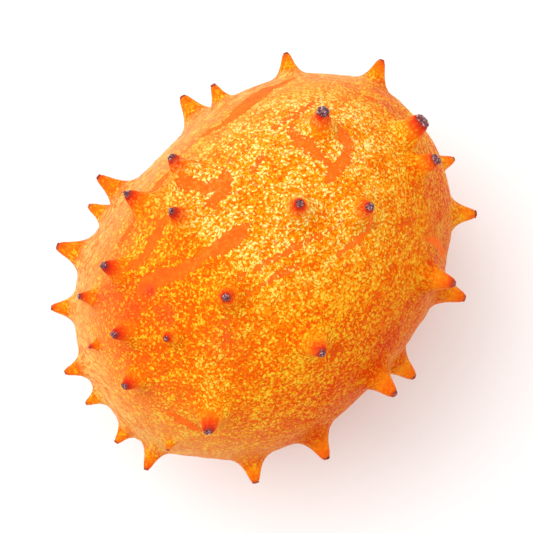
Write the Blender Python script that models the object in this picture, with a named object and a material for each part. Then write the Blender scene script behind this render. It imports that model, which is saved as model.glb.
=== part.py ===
"""Horned melon (kiwano): one whole ripe fruit, lying on its side on the tips of three of its horns.

The fruit is a plump egg-shaped body, longer along X, studded with stiff horns that flare smoothly out of the
skin. The stem end points to +X, the blossom end to -X and up is +Z. Everything is one grown piece, so it is
one closed solid: a sphere is stretched into the body, its skin is raised into horns by a formula, it is
thinned to few faces, and the three lowest tips are cut flat where the fruit rests on them. Metres throughout.
"""

import math

import bmesh
import bpy
import numpy as np
from mathutils import Vector

MM = 0.001

# Body without its horns
BODY_LENGTH = 105.6 * MM
BODY_DIAMETER = 78.8 * MM
HALF_LENGTH = BODY_LENGTH / 2
RADIUS = BODY_DIAMETER / 2
SPHERE_LEVEL = 7  # subdivisions of the starting sphere
FACE_LIMIT = 9600  # triangles left after thinning

# Broad swells and hollows of the grown body: (place along, degrees round, height, width)
SWELLS = (
    (0.02, 17, -1.8 * MM, 17 * MM),
    (0.50, 17, 0.5 * MM, 12 * MM),
    (0.84, 22, 0.7 * MM, 9 * MM),
    (-0.66, 13, 0.8 * MM, 10 * MM),
    (0.10, 190, -0.8 * MM, 16 * MM),
    (-0.99, 0, -1.3 * MM, 8 * MM),
    (0.80, 140, -2.0 * MM, 15 * MM),
    (0.45, 60, 0.8 * MM, 20 * MM),
    (-0.55, 200, 1.0 * MM, 18 * MM),
)

# A horn's profile, in shares of its foot radius: blunt tip, tapering shaft and flared foot
TIP_SHARE = 0.155
SHAFT_SHARE = 0.225
FLARE_SHARE = 1 - TIP_SHARE - SHAFT_SHARE
TIP_ROUNDING = 8
FOOT_PER_HEIGHT = 0.92  # foot radius for each unit of a horn's height
SMALLEST_FOOT = 2.6 * MM
MOUND_SHARE = 0.11  # height of the low mound that a horn stands on, in horn heights
LEAN_DEGREES = 5

# Horns stand in ten rows from end to end. Each entry is one horn: its place along the fruit (-1 at the
# blossom end, 1 at the stem end), how far it strays from its row in degrees, and its height in millimetres.
ROW_ANGLES = (15, 51, 87, 123, 159, 195, 231, 267, 303, 339)
ROWS = (
    ((-0.93, 0, 5.0), (-0.76, 0, 5.4), (-0.55, -1, 7.2), (-0.24, 2, 7.4), (0.38, 7, 4.9), (0.69, 3, 5.6),
     (0.94, 13, 6.2)),
    ((-0.80, 10, 2.8), (-0.66, -2, 4.6), (-0.49, 9, 7.2), (-0.22, -1, 7.2), (0.00, 4, 7.4)),
    ((-0.77, 6, 6.4), (-0.65, -10, 6.6), (-0.54, 6, 4.6), (-0.25, 11, 6.6), (-0.15, -18, 7.0), (0.21, 7, 7.0),
     (0.54, -10, 7.4)),
    ((-0.88, 21, 2.6), (-0.65, 6, 7.4), (-0.13, 7, 7.0), (0.41, -13, 7.0), (0.79, 0, 5.8), (0.85, -19, 7.6)),
    ((-0.995, 14, 4.4), (-0.02, 8, 7.4), (0.46, -2, 7.2)),
    ((-0.955, -10, 5.8), (-0.67, -8, 6.3), (-0.39, -8, 6.9), (0.12, 6, 7.6), (0.50, 0, 7.4), (0.80, 5, 6.6)),
    ((-0.86, 12, 5.6), (-0.53, 3, 7.4), (-0.14, -4, 7.4), (0.64, 4, 7.4), (0.92, -2, 5.8)),
    ((-0.74, -5, 6.8), (0.02, 2, 3.4), (0.60, 6, 7.2), (0.86, -6, 6.2)),
    ((-0.92, 4, 5.0), (-0.60, 2, 7.2), (-0.10, -3, 7.4), (0.66, 2, 7.0), (0.90, 6, 6.0)),
    ((-0.985, 40, 4.1), (-0.72, -6, 6.4), (-0.35, 25, 5.6), (-0.10, -2, 7.2), (0.27, 26, 7.4),
     (0.50, -6, 7.2), (0.80, -14, 6.4)),
)
# The horns that carry the fruit: (place along, degrees round); their heights follow from the rest level
REST_HORNS = ((0.26, 254), (0.26, 286), (-0.31, 270))
REST_LEVEL = -44.6 * MM  # height of the surface below the body's axis
TIP_WEAR = 0.35 * MM  # how much of a carrying tip is worn flat

# Scars where the stem and the flower fell off: (degrees from the +X end, radius, ring height, pit depth)
STEM_SCAR = (11, 4.0 * MM, 0.7 * MM, 0.9 * MM)
BLOSSOM_SCAR = (170, 2.4 * MM, 0.4 * MM, 0.6 * MM)
SCAR_TURN = 270  # both scars lie a little to the underside

SEED = 11


def unit(vectors):
    """Vectors of length one."""
    return vectors / np.linalg.norm(vectors, axis=-1, keepdims=True)


def direction(along, degrees_round):
    """Point of the unit sphere for a place along the fruit and an angle round it, 90 being the top."""
    turn = math.radians(degrees_round)
    across = math.sqrt(max(0.0, 1 - along * along))
    return np.array([along, across * math.cos(turn), across * math.sin(turn)])


def egg(sphere_points):
    """The sphere stretched into the body, with no relief yet."""
    return sphere_points * np.array([HALF_LENGTH, RADIUS, RADIUS])


def egg_normal(sphere_points):
    """Outward normals of the stretched body."""
    return unit(sphere_points / np.array([HALF_LENGTH, RADIUS, RADIUS]))


def hump(points, centre, width):
    """A smooth bump of height one round a centre."""
    distance_squared = np.sum((points - centre) ** 2, axis=-1)
    return np.exp(-distance_squared / (2 * width * width))


class Horn:
    """One horn: where its foot is on the sphere, its height, its foot radius and the way it points."""

    def __init__(self, sphere_point, height, lean):
        self.sphere_point = sphere_point
        self.height = height
        self.foot = max(SMALLEST_FOOT, FOOT_PER_HEIGHT * height)
        self.axis = unit(egg_normal(sphere_point) + lean)


def grown_horns():
    """The horns of the ten rows, each leaning a little at random."""
    draw = np.random.default_rng(SEED)
    largest_lean = math.tan(math.radians(LEAN_DEGREES))
    horns = []
    for row_angle, row in zip(ROW_ANGLES, ROWS):
        for along, stray, height in row:
            lean = draw.uniform(-1, 1, 3) * largest_lean / 2
            horns.append(Horn(direction(along, row_angle + stray), height * MM, lean))
    return horns


def carrying_horns():
    """The three horns under the fruit, each just long enough to pass the rest level by the worn tip."""
    horns = []
    for along, degrees_round in REST_HORNS:
        point = direction(along, degrees_round)
        horn = Horn(point, 8 * MM, np.array([0, 0, -0.6]))
        reach = egg(point)[2] - REST_LEVEL
        horn.height = (reach + TIP_WEAR) / -horn.axis[2]
        horn.foot = FOOT_PER_HEIGHT * horn.height
        horns.append(horn)
    return horns


def crowd_feet(horns):
    """Where horns stand close together their feet are narrower, so that they never run into each other."""
    places = egg(np.array([horn.sphere_point for horn in horns]))
    for index, horn in enumerate(horns):
        gaps = np.linalg.norm(places - places[index], axis=1)
        gaps[index] = np.inf
        horn.foot = min(horn.foot, 0.56 * gaps.min())


def relief(sphere_points, horns):
    """Body surface with its swells, the mounds under the horns and the two end scars."""
    points = egg(sphere_points)
    lift = np.zeros(len(points))
    for along, degrees_round, height, width in SWELLS:
        lift += height * hump(points, egg(direction(along, degrees_round)), width)
    for horn in horns:
        lift += MOUND_SHARE * horn.height * hump(points, egg(horn.sphere_point), 0.85 * horn.foot)
    for from_end, radius, ring, pit in (STEM_SCAR, BLOSSOM_SCAR):
        centre = egg(direction(math.cos(math.radians(from_end)), SCAR_TURN))
        distance = np.linalg.norm(points - centre, axis=1) / radius
        lift += ring * np.exp(-((distance - 1) ** 2) / 0.08) - pit * np.exp(-((distance / 0.75) ** 4))
    return points + egg_normal(sphere_points) * lift[:, None]


def horn_profile(share):
    """Radius share and height share of a horn's outline, for a share from 0 at the tip to 1 at the foot."""
    fallen = share * share * (3 - 2 * share)
    radius = (
        TIP_SHARE * np.sqrt(1 - (1 - fallen) ** TIP_ROUNDING)
        + SHAFT_SHARE * share**1.5
        + FLARE_SHARE * share**3
    )
    return radius, 1 - fallen


def raise_horns(points, sphere_points, horns):
    """Gathers the skin inside each horn's foot round its axis and lifts it to the horn's outline."""
    raised = points.copy()
    for horn in horns:
        centre = relief(horn.sphere_point[None, :], horns)[0]
        offset = points - centre
        distance = np.linalg.norm(offset, axis=1)
        facing = egg_normal(sphere_points) @ horn.axis > 0
        inside = (distance < horn.foot) & facing
        share = np.maximum(distance[inside] / horn.foot, 1e-6)
        radius, height = horn_profile(share)
        gathered = offset[inside] * (radius / share)[:, None]
        raised[inside] = centre + gathered + horn.axis * (horn.height * height)[:, None]
    return raised


def fruit_object():
    """The sphere primitive shaped into the fruit and thinned to few triangles."""
    bpy.ops.mesh.primitive_ico_sphere_add(subdivisions=SPHERE_LEVEL, radius=1)
    fruit = bpy.context.object
    fruit.name = "horned_melon"
    fruit.data.name = "horned_melon"
    flat = np.empty(len(fruit.data.vertices) * 3)
    fruit.data.vertices.foreach_get("co", flat)
    sphere_points = unit(flat.reshape(-1, 3))

    horns = grown_horns() + carrying_horns()
    crowd_feet(horns)
    points = raise_horns(relief(sphere_points, horns), sphere_points, horns)
    fruit.data.vertices.foreach_set("co", points.ravel())
    fruit.data.update()

    thin = fruit.modifiers.new("thin", "DECIMATE")
    thin.ratio = FACE_LIMIT / len(fruit.data.polygons)
    bpy.ops.object.modifier_apply(modifier=thin.name)
    return fruit


def wear_tips_flat(fruit):
    """Cuts the three carrying tips at the rest level and closes each cut with a flat face."""
    mesh = bmesh.new()
    mesh.from_mesh(fruit.data)
    bmesh.ops.bisect_plane(
        mesh,
        geom=mesh.verts[:] + mesh.edges[:] + mesh.faces[:],
        plane_co=(0, 0, REST_LEVEL),
        plane_no=(0, 0, -1),
        clear_outer=True,
    )
    bmesh.ops.holes_fill(mesh, edges=[edge for edge in mesh.edges if edge.is_boundary])
    mesh.to_mesh(fruit.data)
    mesh.free()


def stand_on_origin(fruit):
    """Moves the fruit so that its box is centred on the origin and it rests at height zero."""
    corners = np.array([vertex.co[:] for vertex in fruit.data.vertices])
    low, high = corners.min(axis=0), corners.max(axis=0)
    shift = Vector((-(low[0] + high[0]) / 2, -(low[1] + high[1]) / 2, -REST_LEVEL))
    for vertex in fruit.data.vertices:
        vertex.co += shift
    return shift


def skin_material():
    """Ripe orange skin, faintly glossy."""
    material = bpy.data.materials.new("orange_skin")
    material.use_nodes = True
    shader = material.node_tree.nodes["Principled BSDF"]
    shader.inputs["Base Color"].default_value = (0.95, 0.33, 0.03, 1)
    shader.inputs["Roughness"].default_value = 0.42
    shader.inputs["Metallic"].default_value = 0
    return material


def main():
    for old in list(bpy.data.objects):
        bpy.data.objects.remove(old)
    fruit = fruit_object()
    wear_tips_flat(fruit)
    shift = stand_on_origin(fruit)
    fruit.data.materials.append(skin_material())
    fruit.data.shade_smooth()
    collection = bpy.data.collections.new("horned_melon")
    bpy.context.scene.collection.children.link(collection)
    for parent in list(fruit.users_collection):
        parent.objects.unlink(fruit)
    collection.objects.link(fruit)
    print("faces", len(fruit.data.polygons), "body centre moved by", [round(v * 1000, 2) for v in shift])


main()
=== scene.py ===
# %% [markdown]
# # A horned melon
#
# The horned melon, or kiwano, is a plump egg-shaped fruit of the cucumber family. Its ripe skin is bright
# orange and finely pebbled, and stiff horns with dark corky tips flare out of it on all sides. It lies on
# its side on three of those tips.
#
# Everything grew as one skin, so the model has one closed skin. Only what is dry and of another stuff is a
# piece of its own: the cork on the horn tips and the stub of the stem. The lesson makes the shape first,
# then the places where the colours lie, then the finishes, and at the end a plain studio.

# %% Load the solid model
import math

import bpy
import numpy as np
from mathutils import Matrix, Vector


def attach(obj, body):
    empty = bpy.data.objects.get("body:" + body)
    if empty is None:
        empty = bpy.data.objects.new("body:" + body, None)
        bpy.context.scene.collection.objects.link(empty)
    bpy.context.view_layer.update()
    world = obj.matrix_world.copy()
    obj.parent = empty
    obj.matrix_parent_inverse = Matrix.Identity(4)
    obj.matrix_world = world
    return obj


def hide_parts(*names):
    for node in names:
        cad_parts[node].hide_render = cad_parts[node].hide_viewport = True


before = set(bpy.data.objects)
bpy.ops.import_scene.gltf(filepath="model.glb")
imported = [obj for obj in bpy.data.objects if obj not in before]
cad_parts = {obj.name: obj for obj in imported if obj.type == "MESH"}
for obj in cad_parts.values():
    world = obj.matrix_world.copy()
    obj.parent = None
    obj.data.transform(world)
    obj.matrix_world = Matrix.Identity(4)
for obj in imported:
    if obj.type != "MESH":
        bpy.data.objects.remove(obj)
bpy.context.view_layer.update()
MM = 0.001

# %% [markdown]
# ## The body, as numbers
#
# A sphere stretched three ways is already close to the fruit. A place on it is then easy to name with two
# numbers: how far along the fruit, from -1 at the blossom end to 1 at the stem end, and how many degrees
# round it, 90 being the top. Swells, horns and marks are all placed in that way. One could drag empties
# about instead, but numbers can be read, compared and corrected one by one.

# %% Sizes and swells
BODY_CENTRE = np.array([0.35, 0.52, 44.6]) * MM  # where the body's centre is in the model
HALF_SIZES = np.array([52.8, 39.4, 39.4]) * MM  # half the body's length, width and height
REST_LEVEL = -44.6 * MM  # the surface below, seen from the body's centre

SWELLS = (  # broad swells and hollows: (place along, degrees round, height, width)
    (0.02, 17, -1.8 * MM, 17 * MM),
    (0.50, 17, 0.5 * MM, 12 * MM),
    (0.84, 22, 0.7 * MM, 9 * MM),
    (-0.66, 13, 0.8 * MM, 10 * MM),
    (0.10, 190, -0.8 * MM, 16 * MM),
    (-0.99, 0, -1.3 * MM, 8 * MM),
    (0.80, 140, -2.0 * MM, 15 * MM),
    (0.45, 60, 0.8 * MM, 20 * MM),
    (-0.55, 200, 1.0 * MM, 18 * MM),
)
print(len(SWELLS), "swells and hollows on a body", *np.round(2 * HALF_SIZES / MM, 1), "mm across")

# %% Helpers for places on the body
def unit(vectors):
    """Vectors of length one."""
    return vectors / np.linalg.norm(vectors, axis=-1, keepdims=True)


def direction(along, degrees_round):
    """Point of the unit sphere for a place on the fruit."""
    turn = math.radians(degrees_round)
    across = math.sqrt(max(0.0, 1 - along * along))
    return np.array([along, across * math.cos(turn), across * math.sin(turn)])


def outward(sphere_points):
    """Outward normals of the stretched body."""
    return unit(sphere_points / HALF_SIZES)


def hump(points, centre, width):
    """A smooth bump of height one round a centre."""
    return np.exp(-np.sum((points - centre) ** 2, axis=-1) / (2 * width * width))


def smooth_step(value, low_edge, high_edge):
    """0 below the low edge, 1 above the high edge, and a soft slope between."""
    share = np.clip((value - low_edge) / (high_edge - low_edge), 0, 1)
    return share * share * (3 - 2 * share)


print("the top of the body is", round(direction(0, 90)[2] * HALF_SIZES[2] / MM, 1), "mm above its centre")

# %% [markdown]
# ## The horns, as numbers
#
# Horns are the thing everyone remembers of this fruit. They stand in ten loose rows from end to end, as the
# ribs under the skin do, and no two are alike: those near the ends are short, and some are blunt where the
# growing tip dried early. Scattering them at random would lose the rows, and an even grid would look
# stamped, so each horn has its own small stray from its row, and a seeded draw leans it by a degree or two.

# %% The rows
ROW_ANGLES = (15, 51, 87, 123, 159, 195, 231, 267, 303, 339)
ROWS = (  # each horn: (place along, stray degrees from its row, height in mm, and how blunt if it is)
    ((-0.93, 0, 5.0), (-0.76, 0, 5.4), (-0.55, -1, 7.2), (-0.24, 2, 7.4), (0.38, 7, 4.9), (0.69, 3, 5.6),
     (0.94, 13, 6.2)),
    ((-0.80, 10, 2.8), (-0.66, -2, 4.6), (-0.49, 9, 7.2), (-0.22, -1, 7.2), (0.00, 4, 7.4)),
    ((-0.77, 6, 6.4), (-0.65, -10, 6.6), (-0.54, 6, 4.6), (-0.25, 11, 6.6), (-0.15, -18, 7.0), (0.21, 7, 7.0),
     (0.54, -10, 7.4, 1.12)),
    ((-0.88, 21, 2.6), (-0.65, 6, 7.4), (-0.13, 7, 7.0), (0.41, -13, 7.0), (0.79, 0, 5.8, 1.7),
     (0.85, -19, 6.4, 2.5)),
    ((-0.995, 14, 4.4), (-0.02, 8, 7.4), (0.46, -2, 7.2)),
    ((-0.955, -10, 5.8), (-0.67, -8, 6.3), (-0.39, -8, 6.9), (0.12, 6, 7.6), (0.50, 0, 7.4), (0.80, 5, 6.6)),
    ((-0.86, 12, 5.6), (-0.53, 3, 7.4), (-0.14, -4, 7.4), (0.64, 4, 7.4), (0.92, -2, 5.8)),
    ((-0.74, -5, 6.8), (0.02, 2, 3.4), (0.60, 6, 7.2), (0.86, -6, 6.2)),
    ((-0.92, 4, 5.0), (-0.60, 2, 7.2), (-0.10, -3, 7.4), (0.66, 2, 7.0), (0.90, 6, 6.0)),
    ((-0.985, 40, 4.1), (-0.72, -6, 6.4), (-0.35, 25, 5.6), (-0.10, -2, 7.2), (0.27, 26, 7.4),
     (0.50, -6, 7.2), (0.80, -14, 6.4)),
)
print(sum(len(row) for row in ROWS), "horns in", len(ROWS), "rows")

# %% Grow the free horns
FOOT_PER_HEIGHT = 0.92  # a foot's radius, in horn heights
SMALLEST_FOOT = 2.6 * MM
LEAN = math.tan(math.radians(5)) / 2  # the most that a draw pushes a horn over, each way
horn_draw = np.random.default_rng(11)
horns = []
for row_angle, row in zip(ROW_ANGLES, ROWS):
    for along, stray, height, *blunt in row:
        seat = direction(along, row_angle + stray)
        lean = horn_draw.uniform(-1, 1, 3) * LEAN
        foot = max(SMALLEST_FOOT, FOOT_PER_HEIGHT * height * MM)
        horns.append({"seat": seat, "height": height * MM, "foot": foot, "axis": unit(outward(seat) + lean),
                      "blunt": blunt[0] if blunt else 1.0})
print("tallest free horn:", round(max(horn["height"] for horn in horns) / MM, 1), "mm")

# %% Grow the three horns that carry the fruit
REST_HORNS = ((0.26, 254), (0.26, 286), (-0.31, 270))
DOWNWARD_BEND = 0.6  # how strongly a carrying horn turns towards the ground
TIP_WEAR = 0.35 * MM  # how much of a carrying tip is worn flat
CLOSEST_FEET = 0.56  # a foot's radius reaches at most this far towards its neighbour
for along, degrees_round in REST_HORNS:
    seat = direction(along, degrees_round)
    axis = unit(outward(seat) + np.array([0, 0, -DOWNWARD_BEND]))
    height = ((seat * HALF_SIZES)[2] - REST_LEVEL + TIP_WEAR) / -axis[2]
    horns.append({"seat": seat, "height": height, "foot": FOOT_PER_HEIGHT * height, "axis": axis, "blunt": 1.0})

seats = np.array([horn["seat"] for horn in horns]) * HALF_SIZES
for index, horn in enumerate(horns):
    gaps = np.linalg.norm(seats - seats[index], axis=1)
    gaps[index] = np.inf
    horn["foot"] = min(horn["foot"], CLOSEST_FEET * gaps.min())
print(len(horns), "horns, from", round(min(h["height"] for h in horns) / MM, 1), "to",
      round(max(h["height"] for h in horns) / MM, 1), "mm tall")

# %% [markdown]
# ## The skin
#
# The skin has to be one closed surface, even and fine enough to rise into horns without seams. A ready-made
# sphere crowds its faces at two poles. A cube that is subdivided and then cast into a ball has faces of
# nearly one size all over and no poles, so that is the start.
#
# Each vertex is then moved by a formula: out to the egg, up over the swells, and, inside a horn's foot,
# gathered round the horn's axis and lifted to its outline. By hand the same is done with Grab, Inflate and
# Snake Hook in sculpt mode. Extruding sixty faces would leave hard collars at the feet, while the formula
# gives every horn the same natural flare.

# %% A ball of even faces
SKIN_LEVEL = 7
bpy.ops.object.select_all(action="DESELECT")
bpy.ops.mesh.primitive_cube_add(size=2)
skin = bpy.context.object
skin.name = skin.data.name = "skin"
subdivision = skin.modifiers.new("even faces", "SUBSURF")
subdivision.subdivision_type = "SIMPLE"
subdivision.levels = subdivision.render_levels = SKIN_LEVEL
bpy.ops.object.modifier_apply(modifier=subdivision.name)
ball = skin.modifiers.new("ball", "CAST")
ball.factor = 1
ball.radius = 1
ball.use_radius_as_size = False
bpy.ops.object.modifier_apply(modifier=ball.name)
print("faces on the skin:", len(skin.data.polygons))

# %% Read the ball's vertices
def vertex_places(piece):
    """All vertex positions of a mesh, as an array."""
    flat = np.empty(len(piece.data.vertices) * 3)
    piece.data.vertices.foreach_get("co", flat)
    return flat.reshape(-1, 3)


sphere_points = unit(vertex_places(skin))
print("vertices on the skin:", len(sphere_points))

# %% [markdown]
# ## Mounds and scars
#
# A real horn stands on a low mound, which is what makes the outline between two horns hang like a rope.
# The two ends carry scars: a ring with a pit where the stem broke off, and a smaller one where the flower
# was. All of them are soft humps that are added to the egg before the horns rise.

# %% The relief under the horns
MOUND_SHARE = 0.11  # the low mound that a horn stands on, in horn heights
MOUND_WIDTH = 0.85  # its width, in horn feet
STEM_SCAR = (11, 4.0 * MM, 0.7 * MM, 0.9 * MM)  # (degrees from the end, radius, ring height, pit depth)
BLOSSOM_SCAR = (170, 2.4 * MM, 0.4 * MM, 0.6 * MM)
SCARS = (STEM_SCAR, BLOSSOM_SCAR)
SCAR_TURN = 270  # both scars lie a little to the underside
RING_SPREAD = 0.08  # how softly a scar's ring fades, in squared radii
PIT_SHARE = 0.75  # how wide the pit is, in radii
scar_seats = [direction(math.cos(math.radians(scar[0])), SCAR_TURN) for scar in SCARS]


def relief(on_sphere):
    """The body with its swells, the mounds under the horns and the end scars."""
    points = on_sphere * HALF_SIZES
    lift = np.zeros(len(points))
    for along, degrees_round, height, width in SWELLS:
        lift += height * hump(points, direction(along, degrees_round) * HALF_SIZES, width)
    for horn in horns:
        mound = hump(points, horn["seat"] * HALF_SIZES, MOUND_WIDTH * horn["foot"])
        lift += MOUND_SHARE * horn["height"] * mound
    for seat, (_, radius, ring, pit) in zip(scar_seats, SCARS):
        distance = np.linalg.norm(points - seat * HALF_SIZES, axis=1) / radius
        lift += ring * np.exp(-((distance - 1) ** 2) / RING_SPREAD) - pit * np.exp(-((distance / PIT_SHARE) ** 4))
    return points + outward(on_sphere) * lift[:, None]


body = relief(sphere_points)
print("longest radius before the horns:", round(np.abs(body[:, 0]).max() / MM, 2), "mm")

# %% A horn's outline
TIP_SHARE = 0.18  # the tip's radius, in feet
SHAFT_SHARE = 0.29  # how much the shaft widens on its way down, in feet
TIP_ROUNDING = 10  # higher is squarer
SHAFT_CURVE, FLARE_CURVE = 1.5, 3  # higher keeps the widening nearer to the foot
CROWDING = 1.35  # above one, more of the vertices gather near the tip


def horn_outline(share, tip_share):
    """Radius and height of a horn's outline, in feet and heights, from share 0 at the tip to 1 at the foot."""
    fallen = smooth_step(share, 0, 1)
    radius = tip_share * np.sqrt(1 - (1 - fallen) ** TIP_ROUNDING) + SHAFT_SHARE * share**SHAFT_CURVE
    return radius + (1 - tip_share - SHAFT_SHARE) * share**FLARE_CURVE, 1 - fallen


print("halfway in, a horn has the radius and height", [round(float(v), 2) for v in horn_outline(0.5, TIP_SHARE)])

# %% Raise the horns
shaped = body.copy()
up_the_horn = np.zeros(len(body))  # 0 on the open skin, 1 at a horn's tip
horn_number = np.full(len(body), -1)
for index, horn in enumerate(horns):
    horn["base"] = relief(horn["seat"][None, :])[0]
    offset = body - horn["base"]
    distance = np.linalg.norm(offset, axis=1)
    inside = (distance < horn["foot"]) & (outward(sphere_points) @ horn["axis"] > 0)
    share = np.maximum(distance[inside] / horn["foot"], 1e-6)
    radius, height = horn_outline(share**CROWDING, TIP_SHARE * horn["blunt"])
    gathered = offset[inside] * (radius / share)[:, None]
    shaped[inside] = horn["base"] + gathered + horn["axis"] * (horn["height"] * height)[:, None]
    up_the_horn[inside] = height
    horn_number[inside] = index
shaped[:, 2] = np.maximum(shaped[:, 2], REST_LEVEL)
skin.data.vertices.foreach_set("co", (shaped + BODY_CENTRE).ravel())
skin.data.update()
skin.data.shade_smooth()
print("vertices on horns:", int((horn_number >= 0).sum()))

# %% [markdown]
# ## Gentle unevenness
#
# Seen against the light, the real outline is never a clean curve: it is dented over a centimetre and
# crinkled over a few millimetres. Bump in a material can't change an outline, so two Displace modifiers
# move the mesh itself. A vertex group keeps them off the horns, whose tips have to stay where they are,
# most of all the three that carry the fruit.

# %% Displace helper
def displace(piece, kind, size, strength, group, middle=0.5, depth=2):
    """Moves a piece's surface in and out by a procedural texture, and applies it."""
    texture = bpy.data.textures.new("unevenness", kind)
    texture.noise_scale = size
    if kind == "CLOUDS":
        texture.noise_depth = depth
    dent = piece.modifiers.new("unevenness", "DISPLACE")
    dent.texture = texture
    dent.texture_coords = "LOCAL"
    dent.strength = strength
    dent.mid_level = middle
    if group:
        dent.vertex_group = group
    bpy.ops.object.modifier_apply(modifier=dent.name)
    print(piece.name, "moved by up to", round(abs(strength) / 2 / MM, 2), "mm over", round(size / MM, 1), "mm")


# %% Dent the open skin
DENTS = ((7.0 * MM, 0.55 * MM), (2.4 * MM, 0.28 * MM))  # (how wide, how strong)
HORN_HOLD = 3  # a third of the way up a horn, nothing moves any more
STEPS = 10
open_group = skin.vertex_groups.new(name="open skin")
steps = np.round((1 - np.clip(up_the_horn * HORN_HOLD, 0, 1)) * STEPS).astype(int)
for step in range(1, STEPS + 1):
    open_group.add(np.flatnonzero(steps == step).tolist(), step / STEPS, "REPLACE")
for width, strength in DENTS:
    displace(skin, "CLOUDS", width, strength, open_group.name, depth=1)
low, high = vertex_places(skin).min(axis=0), vertex_places(skin).max(axis=0)
print("the skin measures", np.round((high - low) / MM, 1), "mm and its lowest tip is at", round(low[2] / MM, 2))

# %% [markdown]
# ## Where the colours lie
#
# The skin is not one orange. It is golden on top, where its brightest flecks are painted pale gold and cream
# as painted highlights, and redder towards the blossom end. The side away from the key light is painted deeper
# orange and darker, as painted shade. On the side that faces the key light a pale peach is painted on as a
# sheen, with wrinkles that run along the fruit, and round the blossom end a painted sheen has wrinkles that
# run in rings. Here and there leaves and stems have rubbed the pebbled surface flat, and a few small places
# are bruised. Those zones follow the shape of this one fruit, so they are stored on the vertices as
# attributes, which the material reads and mixes with finer patterns. Painting them in vertex paint would do
# as well, but couldn't be repeated or corrected.

# %% Store helper
def store(piece, name, values):
    """Keeps one number from 0 to 1 for each vertex, for the material to read."""
    kept = np.clip(values, 0, 1)
    stored = piece.data.attributes.new(name, "FLOAT", "POINT")
    stored.data.foreach_set("value", kept.astype(np.float32))
    print(f"{name}: mean {kept.mean():.3f}")


# %% Soft zones of colour
ZONES = {  # for each zone, its humps: (place along, degrees round, strength, width in mm)
    "gold": ((0.12, 76, 1.0, 12), (0.45, 66, 0.95, 12), (0.10, 108, 0.35, 14), (0.74, 84, 0.6, 12),
             (0.45, 118, 0.35, 14), (-0.15, 55, 0.4, 10), (-0.40, 112, 0.45, 14), (-0.68, 120, 0.35, 10),
             (0.45, 175, 0.5, 20), (-0.25, 205, 0.6, 20), (0.25, 320, 0.5, 20)),
    "blush": ((-0.62, 85, 0.8, 16), (-0.80, 120, 0.35, 16), (-0.35, 100, 0.35, 14), (-0.55, 230, 0.6, 18),
              (0.55, 300, 0.5, 18), (-0.55, 45, 0.4, 8)),
    # painted shade: darker on the side away from the key light
    "painted_shade_side": ((0.35, 178, 1.0, 17), (0.0, 186, 1.0, 16), (-0.45, 192, 0.7, 13), (0.75, 150, 0.5, 10)),
    # painted sheen: pale on the side that faces the key light
    "painted_sheen_side": ((-0.75, 20, 0.8, 10), (-0.40, 12, 1.0, 12), (0.0, 10, 1.0, 13), (0.45, 8, 1.0, 13),
                  (0.80, 15, 0.8, 10)),
    # painted sheen: pale round the blossom end
    "painted_end_sheen": ((-0.97, 70, 0.9, 9), (-0.90, 35, 0.7, 8), (-0.92, 150, 0.6, 9), (-0.72, 172, 0.4, 9)),
    "bruised": ((-0.477, 75, 1.0, 1.1), (-0.618, 57, 0.6, 2.0), (-0.588, 73, 0.5, 2.2), (-0.501, 86, 0.5, 2.0),
                (-0.841, 50, 0.7, 1.0), (-0.41, 109, 0.35, 3.0), (0.9, 76, 0.6, 2.5)),
}
for zone_name, humps in ZONES.items():
    store(skin, zone_name, sum(strength * hump(body, direction(along, turn) * HALF_SIZES, width * MM)
                               for along, turn, strength, width in humps))
store(skin, "off_axis", np.hypot(body[:, 1], body[:, 2]))  # in metres, for wrinkles that ring the ends

# %% [markdown]
# ## Rub marks
#
# A rub mark is a smooth orange-red stroke with ragged edges, a few millimetres wide, that swells and
# narrows like a brush stroke. A hump can't draw that, so each mark is a chain of places with a width at
# each one, and the distance of every vertex from that chain says how deep inside the mark it lies. The
# slope is left wide on purpose: the material eats into it with noise, which makes the edges ragged.

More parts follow.
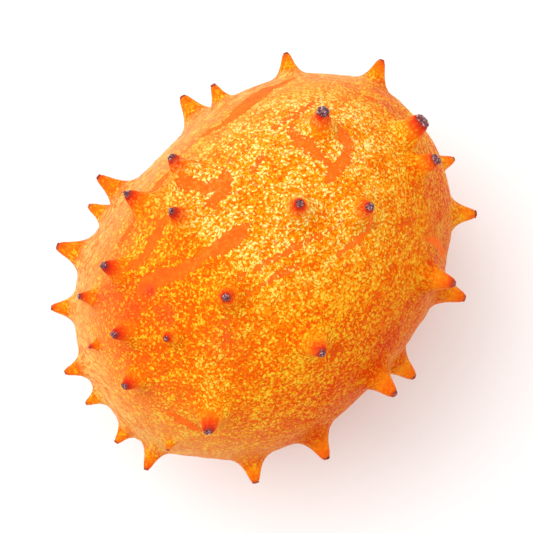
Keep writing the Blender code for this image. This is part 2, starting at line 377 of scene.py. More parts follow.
# %% The marks as chains of places
RUBS = (  # each mark: (strength, places on it as (along, degrees round, half its width in mm))
    (1.0, ((0.198, 42, 0.8), (0.281, 44, 1.1), (0.356, 44, 1.6), (0.425, 42, 2.2), (0.491, 39, 2.4),
           (0.555, 35, 2.1), (0.602, 36, 1.3), (0.664, 32, 1.0), (0.728, 27, 0.7))),
    (1.0, ((-0.117, 57, 0.5), (-0.069, 60, 1.1), (-0.012, 63, 1.1), (0.027, 66, 1.6), (0.067, 68, 1.8))),
    (1.0, ((0.133, 65, 0.6), (0.103, 68, 1.8), (0.052, 71, 1.8), (-0.012, 71, 1.4), (-0.022, 74, 0.5))),
    (0.95, ((-0.05, 45, 0.7), (-0.102, 46, 1.5), (-0.167, 49, 1.4), (-0.209, 51, 1.0), (-0.272, 51, 0.9),
            (-0.344, 49, 0.7), (-0.421, 48, 0.5))),
    (0.9, ((-0.196, 61, 0.9), (-0.246, 62, 1.1), (-0.295, 63, 1.2), (-0.358, 63, 1.1), (-0.413, 65, 0.9),
           (-0.471, 66, 0.7))),
    (1.0, ((0.027, 86, 0.4), (-0.036, 86, 1.6), (-0.084, 85, 2.0), (-0.146, 84, 1.6), (-0.204, 82, 0.9))),
    (0.85, ((-0.204, 82, 0.8), (-0.265, 81, 1.4), (-0.336, 79, 1.6), (-0.393, 75, 1.8), (-0.45, 72, 1.4),
            (-0.503, 71, 1.1))),
    (1.0, ((0.65, 60, 0.5), (0.598, 62, 1.1), (0.537, 64, 1.2), (0.474, 64, 1.1), (0.422, 64, 0.8))),
    (1.0, ((0.492, 66, 0.9), (0.445, 70, 1.1), (0.433, 75, 1.2), (0.439, 80, 1.1), (0.456, 85, 1.0),
           (0.469, 90, 1.0), (0.483, 94, 0.9))),
    (1.0, ((0.633, 83, 0.7), (0.596, 88, 1.2), (0.541, 92, 1.3), (0.478, 93, 1.2), (0.42, 94, 0.9),
           (0.378, 94, 0.5))),
    (0.9, ((0.28, 71, 0.8), (0.219, 73, 0.9))),
    (0.8, ((0.831, 61, 0.5), (0.865, 69, 0.8), (0.902, 78, 0.4))),
    (0.9, ((-0.795, 120, 0.7), (-0.778, 127, 1.1), (-0.765, 133, 1.1), (-0.747, 139, 0.5))),
    (0.6, ((-0.313, 101, 0.5), (-0.352, 105, 0.9), (-0.41, 109, 0.5))),
    (0.72, ((-0.162, 96, 0.4), (-0.051, 99, 0.7), (0.074, 102, 0.9), (0.215, 105, 0.8), (0.312, 108, 0.4))),
    (0.72, ((-0.237, 101, 0.4), (-0.14, 103, 0.7), (-0.042, 105, 0.8), (0.061, 108, 0.4))),
    (0.68, ((0.208, 115, 0.4), (0.319, 117, 0.9), (0.433, 118, 0.7))),
    (0.9, ((-0.35, 215, 0.6), (-0.16, 222, 1.8), (0.02, 218, 1.0))),
    (0.9, ((0.30, 185, 0.6), (0.42, 196, 1.4), (0.50, 214, 0.6))),
    (0.9, ((0.10, 328, 1.0), (0.22, 322, 2.2), (0.30, 312, 0.8))),
    (0.9, ((-0.62, 318, 0.5), (-0.45, 326, 1.1), (-0.30, 322, 0.5))),
    (0.9, ((0.55, 140, 0.6), (0.62, 156, 1.5), (0.60, 172, 0.7))),
)
print(len(RUBS), "rub marks")

# %% How deep inside a mark each vertex lies
MARK_SLOPE = (-1.4, 1.3)  # the slope's inner and outer end, in mm from the mark's edge


def beside_line(points, places):
    """How far outside a line of changing width each point lies, in mm; negative inside it."""
    corners = [direction(along, turn) * HALF_SIZES / MM for along, turn, _ in places]
    widths = [width for _, _, width in places]
    best = np.full(len(points), np.inf)
    for start, end, start_width, end_width in zip(corners, corners[1:], widths, widths[1:]):
        way = end - start
        share = np.clip((points - start) @ way / (way @ way), 0, 1)
        distance = np.linalg.norm(points - start - share[:, None] * way, axis=1)
        best = np.minimum(best, distance - start_width - share * (end_width - start_width))
    return best


rubbed = np.zeros(len(body))
for strength, places in RUBS:
    rubbed = np.maximum(rubbed, strength * (1 - smooth_step(beside_line(body / MM, places), *MARK_SLOPE)))
store(skin, "rubbed", rubbed)

# %% Scars and horns
SCAR_FADE = (0.55, 1.75)  # the scar's brown fades between these, in its radii
SUNNY = (0.15, 0.75)  # a horn is flushed more and more between these upward tilts
FLUSH, SUN_FLUSH, FLUSH_SPREAD = 0.25, 0.75, 0.12  # the least, what the sun adds, and a draw on top

scarred = np.zeros(len(body))
for seat, (_, radius, _, _) in zip(scar_seats, SCARS):
    away = np.linalg.norm(sphere_points * HALF_SIZES - seat * HALF_SIZES, axis=1) / radius
    scarred = np.maximum(scarred, 1 - smooth_step(away, *SCAR_FADE))
store(skin, "scarred", scarred)
store(skin, "up_the_horn", up_the_horn)

# horns that point up have seen the sun and are flushed with red
flush = np.zeros(len(body))
flush_draw = np.random.default_rng(5)
for index, horn in enumerate(horns):
    sun = smooth_step(horn["axis"][2], *SUNNY)
    flushed = FLUSH + SUN_FLUSH * sun + flush_draw.uniform(-FLUSH_SPREAD, FLUSH_SPREAD)
    flush[horn_number == index] = np.clip(flushed, 0.1, 1)
store(skin, "flush", flush)

# %% [markdown]
# ## Building materials in code
#
# A material is a tree of nodes. The same few joints come back in every finish: add two numbers, turn a
# stretch of values into another, mix two colours by a share. A short helper for each keeps the recipe
# readable, and it takes either a plain value or the output of another node.

# %% Start a material and feed its sockets
def new_material(name):
    """A material, its tree, its Principled shader and the place on the object."""
    material = bpy.data.materials.new(name)
    material.use_nodes = True
    tree = material.node_tree
    print("material", name)
    return material, tree, tree.nodes["Principled BSDF"], tree.nodes.new("ShaderNodeTexCoord").outputs["Object"]


def feed(tree, value, socket):
    """Joins an output to a socket, or sets the socket to a plain number or colour."""
    if isinstance(value, bpy.types.NodeSocket):
        tree.links.new(value, socket)
    else:
        socket.default_value = value


def attribute(tree, name):
    """Reads a number that was stored on the vertices."""
    node = tree.nodes.new("ShaderNodeAttribute")
    node.attribute_name = name
    return node.outputs["Fac"]


# %% Arithmetic
def maths(tree, operation, first, second=0.0, clamp=False):
    """One step of arithmetic."""
    node = tree.nodes.new("ShaderNodeMath")
    node.operation = operation
    node.use_clamp = clamp
    feed(tree, first, node.inputs[0])
    feed(tree, second, node.inputs[1])
    return node.outputs[0]


def times(tree, first, second):
    """The product of two numbers."""
    return maths(tree, "MULTIPLY", first, second)


def plus(tree, first, second):
    """The sum of two numbers."""
    return maths(tree, "ADD", first, second)


def minus(tree, first, second):
    """The first number less the second."""
    return maths(tree, "SUBTRACT", first, second)


def swing(tree, pattern, strength, middle=0.5):
    """A pattern as a push up or down from its middle."""
    return times(tree, minus(tree, pattern, middle), strength)


print("arithmetic on outputs and plain numbers: maths, times, plus, minus and swing")

# %% Ramps and mixes
def ramp(tree, value, from_low, from_high, to_low=0.0, to_high=1.0):
    """Turns a stretch of values into another, smoothly and without overshoot."""
    node = tree.nodes.new("ShaderNodeMapRange")
    node.interpolation_type = "SMOOTHSTEP"
    feed(tree, value, node.inputs["Value"])
    for name, number in zip(("From Min", "From Max", "To Min", "To Max"), (from_low, from_high, to_low, to_high)):
        node.inputs[name].default_value = number
    return node.outputs["Result"]


def mix(tree, share, first, second, blend="MIX"):
    """Mixes two colours."""
    node = tree.nodes.new("ShaderNodeMix")
    node.data_type = "RGBA"
    node.blend_type = blend
    for value, socket in ((share, node.inputs["Factor"]), (first, node.inputs[6]), (second, node.inputs[7])):
        feed(tree, value if isinstance(value, (float, bpy.types.NodeSocket)) else (*value, 1), socket)
    return node.outputs[2]


print("a ramp makes a share, and a mix spends it")

# %% [markdown]
# ## The pebbled skin
#
# Close up, the skin is a mosaic. Pebbles a millimetre wide lie shoulder to shoulder; their tops and the
# winding ridges between them are golden, the hollows are orange, and over a few millimetres the gold
# gathers and thins out. One noise can't give that, so five patterns are added up into a single number, the
# fleck level, and the colours are chosen by how high it is. That keeps colour, gloss and relief in step.
# The ridges and both kinds of wrinkle are thin lines, drawn where a noise passes through its middle.

# %% What the material reads
skin_finish, tree, shader, place = new_material("pebbled_skin")
gold_here = attribute(tree, "gold")
blush_here = attribute(tree, "blush")
painted_shade_here = attribute(tree, "painted_shade_side")
painted_sheen_here = attribute(tree, "painted_sheen_side")
end_sheen_here = attribute(tree, "painted_end_sheen")
rubbed_here = attribute(tree, "rubbed")
bruised_here = attribute(tree, "bruised")
scarred_here = attribute(tree, "scarred")
height_here = attribute(tree, "up_the_horn")
flush_here = attribute(tree, "flush")
print("attributes on the skin:", len(skin.data.attributes))

# %% Noise and cells
def noise(tree, place, size, detail=2.0, roughness=0.5):
    """A cloudy pattern with blobs of about a given size."""
    node = tree.nodes.new("ShaderNodeTexNoise")
    tree.links.new(place, node.inputs["Vector"])
    node.inputs["Scale"].default_value = 1 / size
    node.inputs["Detail"].default_value = detail
    node.inputs["Roughness"].default_value = roughness
    return node.outputs["Fac"]


def cells(tree, place, size, feature):
    """A pattern of cells: the distance to their middles (F1) or to their seams (DISTANCE_TO_EDGE)."""
    node = tree.nodes.new("ShaderNodeTexVoronoi")
    node.feature = feature
    node.inputs["Scale"].default_value = 1 / size
    tree.links.new(place, node.inputs["Vector"])
    return node.outputs["Distance"]


print("patterns: noise and cells")

# %% Bent and stretched places
def wandering(tree, place, size, strength):
    """A place that wanders a little, so that cells lose their straight seams."""
    drift = tree.nodes.new("ShaderNodeTexNoise")
    drift.inputs["Scale"].default_value = 1 / size
    tree.links.new(place, drift.inputs["Vector"])
    node = tree.nodes.new("ShaderNodeVectorMath")
    node.operation = "MULTIPLY_ADD"
    tree.links.new(drift.outputs["Color"], node.inputs[0])
    node.inputs[1].default_value = (strength,) * 3
    tree.links.new(place, node.inputs[2])
    return node.outputs[0]


def stretched(tree, place, shares):
    """A place for patterns that are drawn out: a small share of an axis draws them out along it."""
    node = tree.nodes.new("ShaderNodeVectorMath")
    node.operation = "MULTIPLY"
    tree.links.new(place, node.inputs[0])
    node.inputs[1].default_value = shares
    return node.outputs[0]


print("a pattern bends or stretches with the place where it is read")

# %% Pebbles, ridges and patches
def thin_lines(tree, pattern, width):
    """Thin winding lines, where a pattern passes through its middle."""
    return ramp(tree, maths(tree, "ABSOLUTE", minus(tree, pattern, 0.5)), 0.0, width, 1, 0)


PEBBLE = 0.9 * MM
RIDGE = 1.5 * MM
FLECK = 0.52 * MM
FINE_GRAIN = 0.30 * MM
PATCH = 4.6 * MM
RAGGED_EDGE = 2.4 * MM
bent_place = wandering(tree, place, 1.3 * MM, 1.5 * MM)
pebble_top = ramp(tree, cells(tree, bent_place, PEBBLE, "F1"), 0.15, 0.75, 1, 0)
seam = cells(tree, bent_place, PEBBLE, "DISTANCE_TO_EDGE")
ridge = thin_lines(tree, noise(tree, bent_place, RIDGE, 1.0, 0.5), 0.11)
fleck = noise(tree, bent_place, FLECK, 2.0, 0.6)
fine = noise(tree, place, FINE_GRAIN, 2.0, 0.6)
patch = noise(tree, stretched(tree, place, (0.50, 1, 1)), PATCH, 3.0, 0.6)
ragged = noise(tree, place, RAGGED_EDGE, 3.0, 0.7)
print("pebbles of", PEBBLE / MM, "mm in patches of", PATCH / MM, "mm")

# %% Streaks and wrinkles
def ringed(tree, place, off_axis, share):
    """A place for patterns that run in rings about the long axis: a small share draws them out."""
    outwards = tree.nodes.new("ShaderNodeCombineXYZ")
    tree.links.new(off_axis, outwards.inputs["X"])
    node = tree.nodes.new("ShaderNodeVectorMath")
    node.operation = "MULTIPLY_ADD"
    tree.links.new(place, node.inputs[0])
    node.inputs[1].default_value = (0, share, share)
    tree.links.new(outwards.outputs["Vector"], node.inputs[2])
    return node.outputs[0]


STREAK, STREAK_SHARE = 0.72 * MM, 0.30
LONG_WRINKLE, RING_WRINKLE = 3.4 * MM, 1.9 * MM  # how far apart they lie
WRINKLE_SHARE, WRINKLE_WIDTH = 0.25, 0.06
streak = noise(tree, stretched(tree, bent_place, (STREAK_SHARE, 1, 1)), STREAK, 2.0, 0.6)
long_noise = noise(tree, stretched(tree, bent_place, (WRINKLE_SHARE, 1, 1)), LONG_WRINKLE, 2.5, 0.6)
long_wrinkle = thin_lines(tree, long_noise, WRINKLE_WIDTH)
ring_place = ringed(tree, bent_place, attribute(tree, "off_axis"), WRINKLE_SHARE)
ring_wrinkle = thin_lines(tree, noise(tree, ring_place, RING_WRINKLE, 2.5, 0.6), WRINKLE_WIDTH)
print("wrinkles along the fruit", LONG_WRINKLE / MM, "mm apart, and rings", RING_WRINKLE / MM, "mm apart")

# %% The fleck level
FLECK_PART, PEBBLE_PART, RIDGE_PART, SEAM_PART = 0.60, 0.22, 0.16, 0.06
PATCH_SWING, GOLD_SWING, USUAL_GOLD, BLUSH_DROP = 0.50, 0.07, 0.30, 0.05
fleck_level = plus(tree, times(tree, fleck, FLECK_PART), times(tree, pebble_top, PEBBLE_PART))
fleck_level = plus(tree, fleck_level, times(tree, ridge, RIDGE_PART))
fleck_level = minus(tree, fleck_level, times(tree, ramp(tree, seam, 0.0, 0.16, 1, 0), SEAM_PART))
zone = plus(tree, swing(tree, gold_here, GOLD_SWING, USUAL_GOLD), swing(tree, patch, PATCH_SWING))
zone = minus(tree, zone, times(tree, blush_here, BLUSH_DROP))
fleck_level = plus(tree, fleck_level, zone)
is_gold = ramp(tree, fleck_level, 0.40, 0.55)
painted_highlight_share = ramp(tree, fleck_level, 0.50, 0.65)
print("nodes so far:", len(tree.nodes))

# %% Where the skin is rubbed, open, or horn
eaten = plus(tree, swing(tree, ragged, 1.25), times(tree, minus(tree, 0.48, fleck_level), 0.55))
rub = ramp(tree, plus(tree, rubbed_here, eaten), 0.29, 0.42)
shaft = ramp(tree, height_here, 0.16, 0.62)
open_skin = maths(tree, "MULTIPLY", minus(tree, 1.0, rub), minus(tree, 1.0, shaft), True)
off_horns = ramp(tree, height_here, 0.05, 0.35, 1.0, 0.0)
print("nodes so far:", len(tree.nodes))

# %% [markdown]
# ## The colours of the skin
#
# The colours go on as a dyer would lay them: a warm orange ground, deeper in the hollows, which is partly the
# skin's own colour and partly painted shade, then gold on the flecks, and pale gold and cream on the brightest
# ones as painted highlights. Hair-fine darker cracks divide the pebbles into groups, and the seams between
# pebbles are multiplied darker as painted shade. The side away from the key light is multiplied darker as
# painted shade. The side that faces the key light is veiled with a pale peach as a painted sheen, with
# streaks and wrinkles along the fruit, and the blossom end has a deeper painted sheen and wrinkles round it.
# The rub marks cover it all, because they are younger than the rest.

# %% Ground and flecks
DEEP = (0.78, 0.062, 0.0004)
ORANGE = (0.93, 0.165, 0.0006)
WARM_ORANGE = (0.96, 0.32, 0.002)
BLUSH_ORANGE = (0.92, 0.14, 0.001)
GOLDEN = (0.98, 0.425, 0.005)
PALE_GOLD_HIGHLIGHT = (0.98, 0.64, 0.035)
CREAM_HIGHLIGHT = (1.0, 0.86, 0.30)
BLUSH_COVER = 0.5
warmth = ramp(tree, plus(tree, gold_here, swing(tree, patch, 1.6)), -0.2, 0.9)
base = mix(tree, warmth, ORANGE, WARM_ORANGE)
more_in_orange = ramp(tree, gold_here, 0.0, 0.8, 1.0, 0.75)
# deeper orange where the fleck level is low: partly the skin's own colour, partly painted shade in the hollows
base = mix(tree, times(tree, ramp(tree, fleck_level, 0.23, 0.44, 1, 0), more_in_orange), base, DEEP)
base = mix(tree, times(tree, blush_here, BLUSH_COVER), base, BLUSH_ORANGE)
base = mix(tree, is_gold, base, GOLDEN)
# painted highlights: pale gold and cream on the brightest flecks, cream where the skin is most golden
pale = mix(tree, ramp(tree, gold_here, 0.48, 1.05), PALE_GOLD_HIGHLIGHT, CREAM_HIGHLIGHT)
base = mix(tree, times(tree, painted_highlight_share, ramp(tree, gold_here, 0.0, 0.6, 0.75, 1.0)), base, pale)
print("nodes so far:", len(tree.nodes))

# %% Cracks, and painted shade in the hollows
CRACK_TONE = (0.86, 0.13, 0.001)
PAINTED_HOLLOW_SHADE = (0.93, 0.62, 0.30)
PEBBLE_GROUP = 1.9 * MM
CRACK_COVER = 0.75
crack = ramp(tree, cells(tree, bent_place, PEBBLE_GROUP, "DISTANCE_TO_EDGE"), 0.02, 0.13, 1, 0)
crack = times(tree, crack, ramp(tree, ragged, 0.48, 0.62))
base = mix(tree, times(tree, crack, CRACK_COVER), base, CRACK_TONE)
# painted shade: the seams between pebbles are multiplied darker
hollow = times(tree, ramp(tree, seam, 0.0, 0.12, 1, 0), ramp(tree, fine, 0.40, 0.60, 0.15, 0.85))
base = mix(tree, times(tree, hollow, more_in_orange), base, PAINTED_HOLLOW_SHADE, "MULTIPLY")
print("nodes so far:", len(tree.nodes))

# %% Painted shade, painted sheen and the blossom end's painted sheen
PAINTED_SHADE_TINT = (0.80, 0.40, 0.07)
PEACH_SHEEN = (1.0, 0.74, 0.24)
DEEP_PEACH = (1.0, 0.65, 0.16)
STREAK_TONE = (0.87, 0.15, 0.010)
PAINTED_SHADE_COVER, PEACH_COVER, END_COVER = 0.9, 0.50, 0.52
STREAK_COVER, LONG_COVER, RING_COVER = 0.7, 0.85, 0.95
# painted shade: the side away from the key light is multiplied darker
base = mix(tree, times(tree, painted_shade_here, PAINTED_SHADE_COVER), base, PAINTED_SHADE_TINT, "MULTIPLY")
# painted sheen: a pale peach veil on the side that faces the key light, broken by orange streaks and wrinkles
painted_sheen_open = times(tree, painted_sheen_here, off_horns)
base = mix(tree, times(tree, painted_sheen_open, PEACH_COVER), base, PEACH_SHEEN)
streaked = times(tree, times(tree, painted_sheen_open, STREAK_COVER), ramp(tree, streak, 0.48, 0.57))
base = mix(tree, streaked, base, STREAK_TONE)
base = mix(tree, times(tree, times(tree, painted_sheen_open, LONG_COVER), long_wrinkle), base, STREAK_TONE)
# painted sheen: a deeper peach veil round the blossom end, broken by wrinkles in rings
end_sheen_open = times(tree, end_sheen_here, off_horns)
base = mix(tree, times(tree, end_sheen_open, END_COVER), base, DEEP_PEACH)
base = mix(tree, times(tree, times(tree, end_sheen_open, RING_COVER), ring_wrinkle), base, STREAK_TONE)
print("nodes so far:", len(tree.nodes))

# %% Rub marks and bruises
RUBBED = (0.91, 0.105, 0.007)
RUBBED_WARM = (0.91, 0.15, 0.008)
RUBBED_GOLD = (0.93, 0.22, 0.012)
BRUISE = (0.70, 0.03, 0.02)
RUB_COVER, BRUISE_COVER = 0.94, 0.75
rub_tone = mix(tree, ramp(tree, ragged, 0.35, 0.65), RUBBED, RUBBED_WARM)
rub_tone = mix(tree, ramp(tree, fleck_level, 0.44, 0.70, 0.0, 0.5), rub_tone, RUBBED_GOLD)
base = mix(tree, times(tree, rub, RUB_COVER), base, rub_tone)
base = mix(tree, times(tree, bruised_here, BRUISE_COVER), base, BRUISE)
print("nodes so far:", len(tree.nodes))

# %% Scars of cork
CORK_BROWN = (0.44, 0.17, 0.045)
DARK_CORK = (0.13, 0.038, 0.012)
scar_edge = ramp(tree, plus(tree, scarred_here, swing(tree, ragged, 0.8)), 0.38, 0.62)
scar_tone = mix(tree, ramp(tree, fleck, 0.36, 0.62), DARK_CORK, CORK_BROWN)
base = mix(tree, scar_edge, base, scar_tone)
print("nodes so far:", len(tree.nodes))

# %% [markdown]
# ## The colours of a horn
#
# A horn starts in the skin's own gold and orange, and its shaft is plainer than the skin because the
# pebbles stretch out over it. The ones that point up turn red and then crimson under the tip, and every
# tip ends in dry brown. One attribute, the height up the horn, drives all four steps.

# %% Shaft, flush and tip
SHAFT = (0.94, 0.34, 0.006)
SHAFT_TOP = (0.92, 0.17, 0.003)
RED = (0.76, 0.042, 0.004)
CRIMSON = (0.40, 0.008, 0.012)
TIP_BROWN = (0.42, 0.05, 0.015)
SHAFT_COVER, TIP_COVER = 0.60, 0.7
GOLD_HOLDS = 0.35  # how much of the red the golden flecks keep off
shaft_tone = mix(tree, ramp(tree, height_here, 0.35, 0.85), SHAFT, SHAFT_TOP)
base = mix(tree, times(tree, shaft, SHAFT_COVER), base, shaft_tone)
red_share = times(tree, ramp(tree, height_here, 0.20, 0.88), flush_here)
red_share = times(tree, red_share, minus(tree, 1.0, times(tree, is_gold, GOLD_HOLDS)))
base = mix(tree, red_share, base, RED)
base = mix(tree, times(tree, ramp(tree, height_here, 0.74, 0.98), flush_here), base, CRIMSON)
base = mix(tree, times(tree, ramp(tree, height_here, 0.86, 0.98), TIP_COVER), base, TIP_BROWN)
tree.links.new(base, shader.inputs["Base Color"])
print("nodes so far:", len(tree.nodes))

# %% [markdown]
# ## Gloss, glow and fine relief
#
# The skin has a soft sheen that is broken up by the pebbles, so it shows as many small lights and not as
# one highlight; those small lights are painted into the colour as pale gold and cream flecks. A strong
# mirror-like share would lay a grey veil over such a deep orange, so it is kept very low. Light also enters
# the flesh a little and comes out redder, which subsurface scattering does. The bump follows the same pebbles
# and flecks as the colours, and fades out where the skin is rubbed.

# %% Gloss and glow
HOLLOW_ROUGHNESS, FLECK_ROUGHNESS = 0.46, 0.30
RUBBED_ROUGHNESS = (0.55, 0.55, 0.55)
GLOW_DEPTH = 2.2 * MM
unrubbed = ramp(tree, fleck_level, 0.3, 0.7, HOLLOW_ROUGHNESS, FLECK_ROUGHNESS)
tree.links.new(mix(tree, rub, unrubbed, RUBBED_ROUGHNESS), shader.inputs["Roughness"])
shader.inputs["Specular IOR Level"].default_value = 0.03
shader.inputs["Subsurface Weight"].default_value = 0.24
shader.inputs["Subsurface Radius"].default_value = (1.0, 0.35, 0.08)
shader.inputs["Subsurface Scale"].default_value = GLOW_DEPTH
print("light enters the skin by up to", round(GLOW_DEPTH / MM, 2), "mm")

# %% Fine relief
def bump(tree, height, strength, depth, shader):
    """Lets a pattern catch the light as fine relief."""
    node = tree.nodes.new("ShaderNodeBump")
    node.inputs["Strength"].default_value = strength
    node.inputs["Distance"].default_value = depth
    tree.links.new(height, node.inputs["Height"])
    tree.links.new(node.outputs["Normal"], shader.inputs["Normal"])
    print("fine relief of", round(depth / MM, 2), "mm")


RELIEF_DEPTH = 0.30 * MM
LEAST_RELIEF = 0.1  # what a rub mark or a shaft keeps of it
FLECK_RELIEF, FINE_RELIEF = 0.9, 0.18  # heights, with a pebble as 1
pebbled = plus(tree, pebble_top, times(tree, fleck, FLECK_RELIEF))
pebbled = times(tree, pebbled, plus(tree, times(tree, open_skin, 1 - LEAST_RELIEF), LEAST_RELIEF))
bump(tree, plus(tree, pebbled, times(tree, fine, FINE_RELIEF)), 0.9, RELIEF_DEPTH, shader)
skin.data.materials.append(skin_finish)

# %% Put the skin in place
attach(skin, "root")
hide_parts("horned_melon")
print("the skin stands for the solid melon")

# %% [markdown]
# ## Cork tips
#
# Each horn ends in a dry bud: a dark, wrinkled bead on the horns that point up, and a thin reddish scale on
# those that point sideways. All of them are one shape in many sizes, so one bud is modelled and copied,
# and every copy gets its own mesh, size and spin. The bud is a fine ball whose upper part is pressed
# flatter in edit mode, as the real ones are. Its wrinkles come from Displace modifiers after the copies
# are joined, so that no two buds are wrinkled alike.

# %% Select helper
def select_vertices(piece, wanted):
    """Leaves only some vertices selected, and goes to edit mode."""
    bpy.ops.object.mode_set(mode="EDIT")
    bpy.ops.mesh.select_mode(type="VERT")
    bpy.ops.mesh.select_all(action="DESELECT")
    bpy.ops.object.mode_set(mode="OBJECT")
    for vertex in piece.data.vertices:
        vertex.select = bool(wanted(vertex.co))
    print("selected", sum(vertex.select for vertex in piece.data.vertices), "vertices of", piece.name)
    bpy.ops.object.mode_set(mode="EDIT")


# %% One bud
BUD_SHOULDER = 0.35  # above this height the ball is pressed down
BUD_PRESS = 0.72  # to this share of its height
bpy.ops.object.select_all(action="DESELECT")
bpy.ops.mesh.primitive_ico_sphere_add(subdivisions=4, radius=1)
bud = bpy.context.object
bud.name = "bud"
select_vertices(bud, lambda place: place.z > BUD_SHOULDER)
bpy.ops.transform.resize(value=(1, 1, BUD_PRESS), center_override=(0, 0, BUD_SHOULDER))
bpy.ops.mesh.select_all(action="SELECT")
bpy.ops.mesh.vertices_smooth(factor=0.5, repeat=2)
bpy.ops.object.mode_set(mode="OBJECT")
print("the bud is", round(bud.dimensions.z / bud.dimensions.x, 2), "times as tall as it is wide")

# %% Copy helper
def standing(seat, way):
    """The move that stands an upright piece on a seat of the body, along a way."""
    turn = Vector(way).to_track_quat("Z", "Y").to_matrix().to_4x4()
    return Matrix.Translation(Vector(seat + BODY_CENTRE)) @ turn


def copy_bud(seat, way, sizes, spin, reddish, lumpy):
    """A copy of the bud with its own mesh, at a place, along a way."""
    copy = bud.copy()
    copy.data = bud.data.copy()
    bpy.context.collection.objects.link(copy)
    copy.data.transform(standing(seat, way) @ Matrix.Rotation(spin, 4, "Z") @ Matrix.Diagonal((*sizes, 1)))
    count = len(copy.data.vertices)
    shade = copy.data.attributes.new("reddish", "FLOAT", "POINT")
    shade.data.foreach_set("value", np.full(count, reddish, dtype=np.float32))
    copy.vertex_groups.new(name="lumpy").add(list(range(count)), lumpy, "REPLACE")
    return copy


cork_draw = np.random.default_rng(29)
cork_tips = []
print("buds are wrinkled most on horns that point up")

# %% How a bud follows its horn's tilt
UPRIGHT = (0.25, 0.75)  # a bud changes from a sideways one to an upright one between these upward tilts
COVER = (0.84, -0.06)  # its radius in tip radii, on a sideways horn, and what an upright one adds
LENGTH = (0.42, 0.43)  # its length in its own radii
SINK = (0.80, -0.35)  # how deep it sits, in lengths
LUMPS = (0.35, 0.65)  # how wrinkled it is


def by_tilt(values, up):
    """The value for a horn that points up by a share."""
    sideways, added = values
    return sideways + added * up


print("a bud is", by_tilt(LENGTH, 0), "of its radius long on a sideways horn, and", by_tilt(LENGTH, 1), "upright")

# %% A bud on every horn
CLEARANCE = 1 * MM  # the worn tips that carry the fruit have no bud
BLUNT_FROM, BLUNT_COVER = 1.1, 0.97
for horn in horns:
    tip = horn["base"] + horn["axis"] * horn["height"]
    if tip[2] < REST_LEVEL + CLEARANCE:
        continue
    up = smooth_step(horn["axis"][2], *UPRIGHT)
    cover = by_tilt(COVER, up) if horn["blunt"] < BLUNT_FROM else BLUNT_COVER
    radius = TIP_SHARE * horn["blunt"] * horn["foot"] * cover * cork_draw.uniform(0.85, 1.12)
    length = radius * by_tilt(LENGTH, up) / horn["blunt"] ** 0.7
    sizes = (radius, radius * cork_draw.uniform(0.72, 1.0), length)
    spin = cork_draw.uniform(0, 2 * math.pi)
    seat = tip - horn["axis"] * length * by_tilt(SINK, up)
    cork_tips.append(copy_bud(seat, horn["axis"], sizes, spin, 1 - up, by_tilt(LUMPS, up) / horn["blunt"]))
print(len(cork_tips), "buds")

# %% A knob where the flower was
KNOB_SIZES = (1.5 * MM, 1.3 * MM, 0.8 * MM)
KNOB_LIFT = 0.1 * MM
stem_scar_seat, blossom_scar_seat = scar_seats
blossom_way = outward(blossom_scar_seat)
blossom_seat = relief(blossom_scar_seat[None, :])[0] + blossom_way * KNOB_LIFT
cork_tips.append(copy_bud(blossom_seat, blossom_way, KNOB_SIZES, 0, 0, 1))
bpy.data.objects.remove(bud)
print("the knob is", round(2 * KNOB_SIZES[0] / MM, 1), "mm wide")

# %% Join the buds and wrinkle them
bpy.ops.object.select_all(action="DESELECT")
for copy in cork_tips:
    copy.select_set(True)
bpy.context.view_layer.objects.active = cork_tips[0]
bpy.ops.object.join()
cork = bpy.context.object
cork.name = cork.data.name = "cork_tips"
displace(cork, "VORONOI", 0.80 * MM, -0.55 * MM, "lumpy", middle=0.55)
displace(cork, "CLOUDS", 0.30 * MM, 0.22 * MM, "lumpy")
cork.data.shade_smooth()
print(len(cork.data.polygons), "faces on the cork tips")

# %% [markdown]
# ## The finish of the cork
#
# Dry cork is dark plum brown, with pale specks that are partly split and curled skin and partly painted
# glints. On the sideways horns it is only a reddish rim. A patchy noise gives the browns, a sparser one gives
# the pale specks, and the number that was stored on each bud turns it towards red.

# %% Dry cork
DARK_PLUM, PLUM = (0.050, 0.010, 0.017), (0.22, 0.066, 0.082)
CRACK_AND_GLINT = (0.74, 0.55, 0.58)
DARK_RED, RUST_RED = (0.13, 0.012, 0.012), (0.50, 0.055, 0.022)
REDDISH_COVER = 0.95
CORK_PATCH, GLINT_SIZE = 0.5 * MM, 0.42 * MM
cork_finish, tree, shader, place = new_material("dry_cork")
tone = noise(tree, place, CORK_PATCH, 3.0, 0.6)
base = mix(tree, ramp(tree, tone, 0.35, 0.65), DARK_PLUM, PLUM)
# the pale specks are partly split skin and partly painted glints
glint = ramp(tree, noise(tree, place, GLINT_SIZE, 1.0), 0.59, 0.69)
base = mix(tree, glint, base, CRACK_AND_GLINT)
reddish = mix(tree, ramp(tree, tone, 0.38, 0.60), DARK_RED, RUST_RED)
base = mix(tree, times(tree, attribute(tree, "reddish"), REDDISH_COVER), base, reddish)
tree.links.new(base, shader.inputs["Base Color"])
shader.inputs["Roughness"].default_value = 0.38
shader.inputs["Specular IOR Level"].default_value = 0.20
bump(tree, tone, 0.8, 0.1 * MM, shader)
cork.data.materials.append(cork_finish)
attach(cork, "root")

# %% [markdown]
# ## The stub of the stem
#
# The stem dries on the fruit and breaks off a few millimetres above it. What is left is a short ribbed
# peg with a hollow, fibrous end, sitting in the scar. It starts as a cylinder standing upright, because
# its end is easy to inset and press in there. Then it is tapered and ribbed, moved to the scar and turned
# along the skin's normal, and shrivelled with a noise.

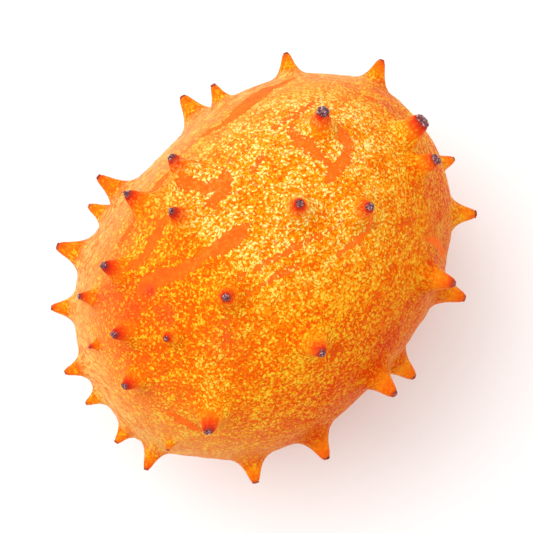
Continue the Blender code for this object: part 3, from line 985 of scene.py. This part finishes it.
# %% A peg with a hollow end
STUB_RADIUS, STUB_LENGTH = 2.5 * MM, 2.6 * MM
RIM_WIDTH, RIM_LIFT = 0.5 * MM, 0.35 * MM
HOLLOW_INSET, HOLLOW_DEPTH = 0.9 * MM, 0.7 * MM
bpy.ops.object.select_all(action="DESELECT")
bpy.ops.mesh.primitive_cylinder_add(vertices=32, radius=STUB_RADIUS, depth=STUB_LENGTH)
stub = bpy.context.object
stub.name = stub.data.name = "stem_stub"
select_vertices(stub, lambda place: place.z > STUB_LENGTH / 4)
bpy.ops.mesh.select_mode(type="FACE")
bpy.ops.mesh.inset(thickness=RIM_WIDTH)
bpy.ops.transform.translate(value=(0, 0, RIM_LIFT))
bpy.ops.mesh.inset(thickness=HOLLOW_INSET)
bpy.ops.transform.translate(value=(0, 0, -HOLLOW_DEPTH))
bpy.ops.mesh.select_all(action="SELECT")
bpy.ops.mesh.subdivide(number_cuts=3)
bpy.ops.object.mode_set(mode="OBJECT")
print("stub vertices:", len(stub.data.vertices))

# %% Taper it and run ribs down it
RIBS, RIB_DEPTH = 5, 0.10
FOOT_WIDENING, TAPER = 1.25, 0.30
stub_places = vertex_places(stub)
turn_here = np.arctan2(stub_places[:, 1], stub_places[:, 0])
rise = (stub_places[:, 2] + STUB_LENGTH / 2) / STUB_LENGTH
ribbed = 1 + RIB_DEPTH * np.cos(RIBS * turn_here)
stub_places[:, :2] *= ((FOOT_WIDENING - TAPER * rise) * ribbed)[:, None]
stub.data.vertices.foreach_set("co", stub_places.ravel())
print("the stub is", round(2 * np.abs(stub_places[:, 0]).max() / MM, 1), "mm wide at its foot")

# %% Seat it in the scar and shrivel it
SUNK = 0.5 * MM
stem_way = outward(stem_scar_seat)
stem_seat = relief(stem_scar_seat[None, :])[0] + stem_way * (STUB_LENGTH / 2 - SUNK)
stub.data.transform(standing(stem_seat, stem_way))
displace(stub, "CLOUDS", 0.9 * MM, 0.7 * MM, None, depth=3)
stub.data.shade_smooth()

# %% Dry stem
FIBRE_BROWN, STRAW = (0.11, 0.045, 0.015), (0.52, 0.29, 0.11)
stub_finish, tree, shader, place = new_material("dry_stem")
tone = noise(tree, place, 0.7 * MM, 4.0, 0.65)
base = mix(tree, ramp(tree, tone, 0.34, 0.66), FIBRE_BROWN, STRAW)
tree.links.new(base, shader.inputs["Base Color"])
shader.inputs["Roughness"].default_value = 0.75
shader.inputs["Specular IOR Level"].default_value = 0.2
bump(tree, tone, 0.9, 0.2 * MM, shader)
stub.data.materials.append(stub_finish)
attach(stub, "root")

# %% [markdown]
# ## The studio
#
# A plain pale floor and soft light from large panels show a fruit without hiding anything. The key light
# comes from behind and to the left, a wide panel overhead fills the top, and a weak third one keeps the
# near side from going muddy. The surroundings are nearly white, as in a light tent. The camera looks down
# steeply from a long way off, so that the fruit keeps its true proportions.

# %% Floor
bpy.ops.object.select_all(action="DESELECT")
bpy.ops.mesh.primitive_plane_add(size=6)
floor = bpy.context.object
floor.name = "floor"
floor_finish, tree, shader, _ = new_material("white_floor")
shader.inputs["Base Color"].default_value = (0.92, 0.92, 0.92, 1)
shader.inputs["Roughness"].default_value = 0.8
floor.data.materials.append(floor_finish)

# %% Lights
SURROUNDINGS = 0.78  # how bright they are
world = bpy.data.worlds.new("studio")
bpy.context.scene.world = world
world.use_nodes = True
background = world.node_tree.nodes["Background"]
background.inputs["Color"].default_value = (1, 1, 1, 1)
background.inputs["Strength"].default_value = SURROUNDINGS


def softbox(name, place, size, power):
    """A square area light that faces the fruit, its size in metres and its power in watts."""
    light = bpy.data.lights.new(name, "AREA")
    light.size = size
    light.energy = power
    lamp = bpy.data.objects.new(name, light)
    bpy.context.collection.objects.link(lamp)
    lamp.location = place
    lamp.rotation_euler = (Vector(BODY_CENTRE) - Vector(place)).to_track_quat("-Z", "Y").to_euler()
    print(name, "light,", size, "m wide,", power, "W")


softbox("key", (-0.15, 0.50, 0.60), 0.95, 4.0)
softbox("overhead", (-0.05, 0.15, 0.9), 1.2, 2.6)
softbox("fill", (0.35, -0.40, 0.55), 0.9, 0.9)

# %% Camera
AZIMUTH, ELEVATION = math.radians(-45.9), math.radians(80)
ASIDE, ABOVE, AWAY = 43.16 * MM, 1.008 * MM, 533 * MM  # from the body's centre to the camera
LENS, SENSOR = 146, 36  # in mm
level, steep = math.cos(ELEVATION), math.sin(ELEVATION)
right = Vector((math.cos(AZIMUTH), math.sin(AZIMUTH), 0))
back = Vector((math.sin(AZIMUTH) * level, -math.cos(AZIMUTH) * level, steep))
upward = back.cross(right)
eye = Vector(BODY_CENTRE) + right * ASIDE + upward * ABOVE + back * AWAY
to_eye = (eye - Vector(BODY_CENTRE)).normalized()
side = upward.cross(to_eye).normalized()
camera_data = bpy.data.cameras.new("camera")
camera_data.lens = LENS
camera_data.sensor_width = SENSOR
camera_data.clip_start = 0.01
camera = bpy.data.objects.new("camera", camera_data)
bpy.context.collection.objects.link(camera)
camera.matrix_world = Matrix.Translation(eye) @ Matrix((side, to_eye.cross(side), to_eye)).transposed().to_4x4()
bpy.context.scene.camera = camera
bpy.context.scene.view_settings.view_transform = "Standard"
print("the camera is", round((eye - Vector(BODY_CENTRE)).length, 3), "m from the fruit")
